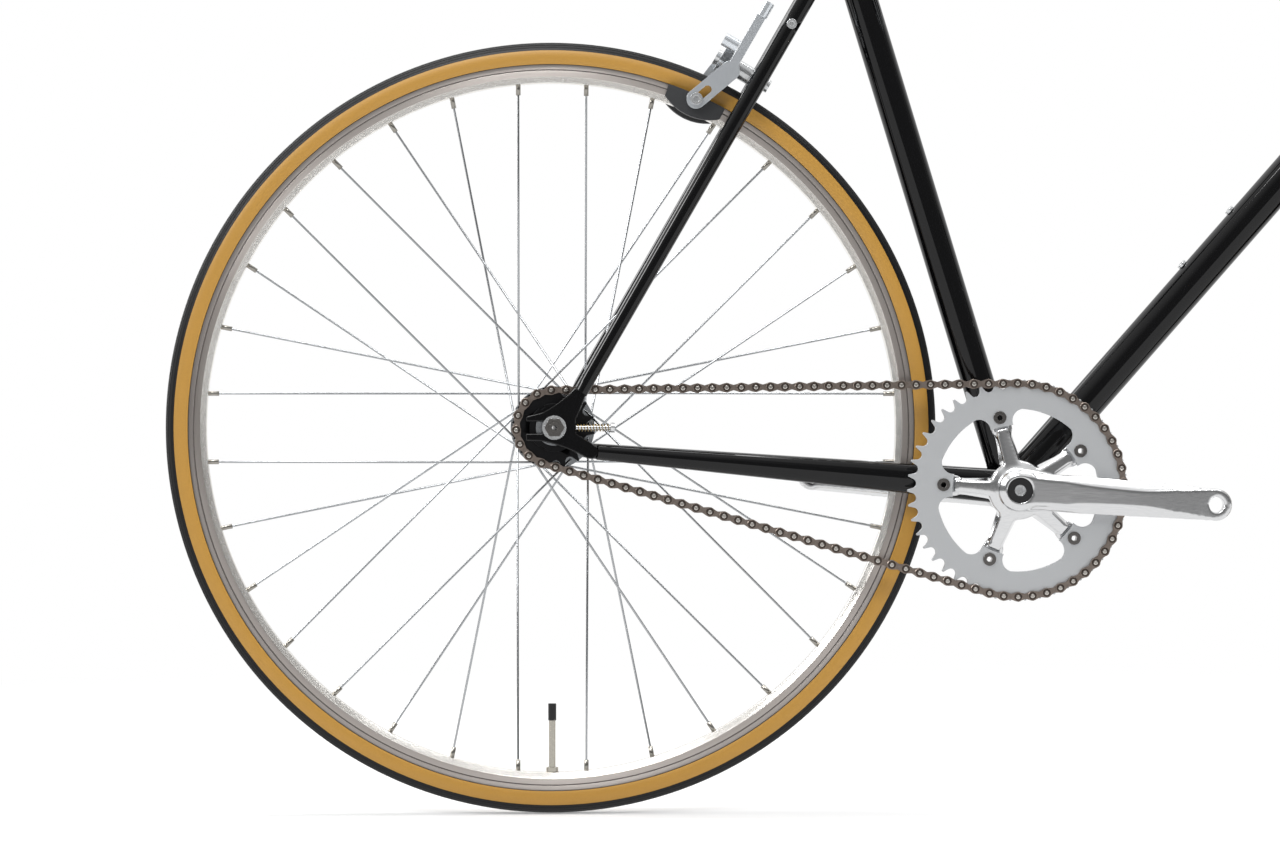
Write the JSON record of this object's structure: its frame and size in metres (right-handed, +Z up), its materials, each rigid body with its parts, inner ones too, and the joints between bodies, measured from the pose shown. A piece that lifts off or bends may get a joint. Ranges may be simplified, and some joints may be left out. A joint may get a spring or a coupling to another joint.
{
  "type": "fixed gear bicycle",
  "caption": "Black fixed gear bicycle with tan-wall tyres, silver rims and cranks, chain drive, rim brakes, riser bar and saddle, with bare pedal holes",
  "frame": {"origin": "on the floor under the middle of the wheelbase, in the bicycle's middle plane", "axes": "+X forward, +Y to the rider's left, +Z up; the chain is on the -Y side"},
  "size_m": [1.6639, 0.606, 0.9929],
  "materials": {
    "frame_paint": "gloss black enamel",
    "crank_alloy": "polished",
    "ring_alloy": "satin anodised grey",
    "wheel_alloy": "satin, brake tracks machined",
    "brake_alloy": "brushed",
    "cockpit_alloy": "satin",
    "spoke_steel": "drawn stainless",
    "bolt_steel": "zinc plated",
    "chain_steel": "brown bronze heat tint",
    "cog_steel": "black oxide",
    "tyre_rubber": "black tread with tan sidewalls",
    "tube_rubber": "black butyl",
    "pad_rubber": "dark grey moulded",
    "grip_rubber": "matt black",
    "saddle_cover": "black grained cover over foam",
    "saddle_base": "moulded nylon"
  },
  "bodies": {
    "frame": {"head_tube": "frame_paint", "top_tube": "frame_paint", "down_tube": "frame_paint", "seat_tube": "frame_paint", "bottom_bracket_shell": "frame_paint", "chain_stays": "frame_paint", "seat_stays": "frame_paint", "stay_bridges": "frame_paint", "track_ends": "frame_paint", "boss_bolts": "bolt_steel", "axle_adjusters": "bolt_steel", "seat_clamp": "frame_paint", "seatpost": "cockpit_alloy", "saddle_rails": "bolt_steel", "saddle_shell": "saddle_base", "saddle_pad": "saddle_cover", "headset_cups": "cockpit_alloy", "bottom_bracket_cartridge": "cog_steel", "rear_axle": "bolt_steel", "rear_caliper_mount": "bolt_steel", "chain_outer_links": "chain_steel", "chain_inner_links": "chain_steel"},
    "crankset": {"bottom_bracket_spindle": "bolt_steel", "right_crank": "crank_alloy", "left_crank": "crank_alloy", "chainring": "ring_alloy", "chainring_bolts": "bolt_steel", "crank_bolts": "bolt_steel"},
    "rear_wheel": {"rear_tyre": "tyre_rubber", "rear_inner_tube": "tube_rubber", "rear_rim": "wheel_alloy", "rear_spokes": "spoke_steel", "rear_hub": "wheel_alloy", "cog": "cog_steel"},
    "fork": {"fork_crown": "frame_paint", "fork_blades": "frame_paint", "headset_top": "cockpit_alloy", "stem": "cockpit_alloy", "stem_faceplate": "cockpit_alloy", "handlebar": "cockpit_alloy", "grips": "grip_rubber", "brake_lever_brackets": "brake_alloy", "front_axle": "bolt_steel", "front_caliper_mount": "bolt_steel"},
    "front_wheel": {"front_tyre": "tyre_rubber", "front_inner_tube": "tube_rubber", "front_rim": "wheel_alloy", "front_spokes": "spoke_steel", "front_hub": "wheel_alloy"},
    "right_lever": {"right_brake_lever": "brake_alloy"},
    "left_lever": {"left_brake_lever": "brake_alloy"},
    "rear_right_arm": {"rear_caliper_right_arm": "brake_alloy", "rear_right_brake_pad": "pad_rubber"},
    "rear_left_arm": {"rear_caliper_left_arm": "brake_alloy", "rear_left_brake_pad": "pad_rubber"},
    "front_right_arm": {"front_caliper_right_arm": "brake_alloy", "front_right_brake_pad": "pad_rubber"},
    "front_left_arm": {"front_caliper_left_arm": "brake_alloy", "front_left_brake_pad": "pad_rubber"}
  },
  "joints": [
    {"name": "rear_wheel_spin", "type": "hinge", "parent": "frame", "child": "rear_wheel", "pos_m": [-0.494, 0, 0.338], "axis": [0, 1, 0], "continuous": true, "deforming": ["chain_outer_links", "chain_inner_links"]},
    {"name": "crank_spin", "type": "hinge", "parent": "frame", "child": "crankset", "pos_m": [-0.08943, 0, 0.2835], "axis": [0, 1, 0], "continuous": true},
    {"name": "steering", "type": "hinge", "parent": "frame", "child": "fork", "pos_m": [0.32697, 0, 0.68488], "axis": [-0.3256, 0, 0.9455], "range_deg": [-65, 65]},
    {"name": "front_wheel_spin", "type": "hinge", "parent": "fork", "child": "front_wheel", "pos_m": [0.494, 0, 0.338], "axis": [0, 1, 0], "continuous": true},
    {"name": "right_lever_pull", "type": "hinge", "parent": "fork", "child": "right_lever", "pos_m": [0.3758, -0.16129, 0.92288], "axis": [0, 0, -1], "range_deg": [0, 18], "stiffness_Nm_per_rad": 0.6, "springref_deg": -5.73},
    {"name": "left_lever_pull", "type": "hinge", "parent": "fork", "child": "left_lever", "pos_m": [0.3758, 0.16129, 0.92288], "axis": [0, 0, 1], "range_deg": [0, 18], "stiffness_Nm_per_rad": 0.6, "springref_deg": -5.73},
    {"name": "rear_right_arm_close", "type": "hinge", "parent": "frame", "child": "rear_right_arm", "pos_m": [-0.31299, 0, 0.64339], "axis": [0.8666, 0, -0.499], "range_deg": [0, 2.4]},
    {"name": "rear_left_arm_close", "type": "hinge", "parent": "frame", "child": "rear_left_arm", "pos_m": [-0.31299, 0, 0.64339], "axis": [-0.8666, 0, 0.499], "range_deg": [0, 2.4]},
    {"name": "front_right_arm_close", "type": "hinge", "parent": "fork", "child": "front_right_arm", "pos_m": [0.3312, 0, 0.67259], "axis": [0.9455, 0, 0.3256], "range_deg": [0, 2]},
    {"name": "front_left_arm_close", "type": "hinge", "parent": "fork", "child": "front_left_arm", "pos_m": [0.3312, 0, 0.67259], "axis": [-0.9455, 0, -0.3256], "range_deg": [0, 2]}
  ],
  "couplings": [
    {"joint": "crank_spin", "follows": "rear_wheel_spin", "ratio": 0.34783},
    {"joint": "rear_right_arm_close", "follows": "right_lever_pull", "ratio": 0.13333},
    {"joint": "rear_left_arm_close", "follows": "right_lever_pull", "ratio": 0.13333},
    {"joint": "front_right_arm_close", "follows": "left_lever_pull", "ratio": 0.11111},
    {"joint": "front_left_arm_close", "follows": "left_lever_pull", "ratio": 0.11111}
  ]
}
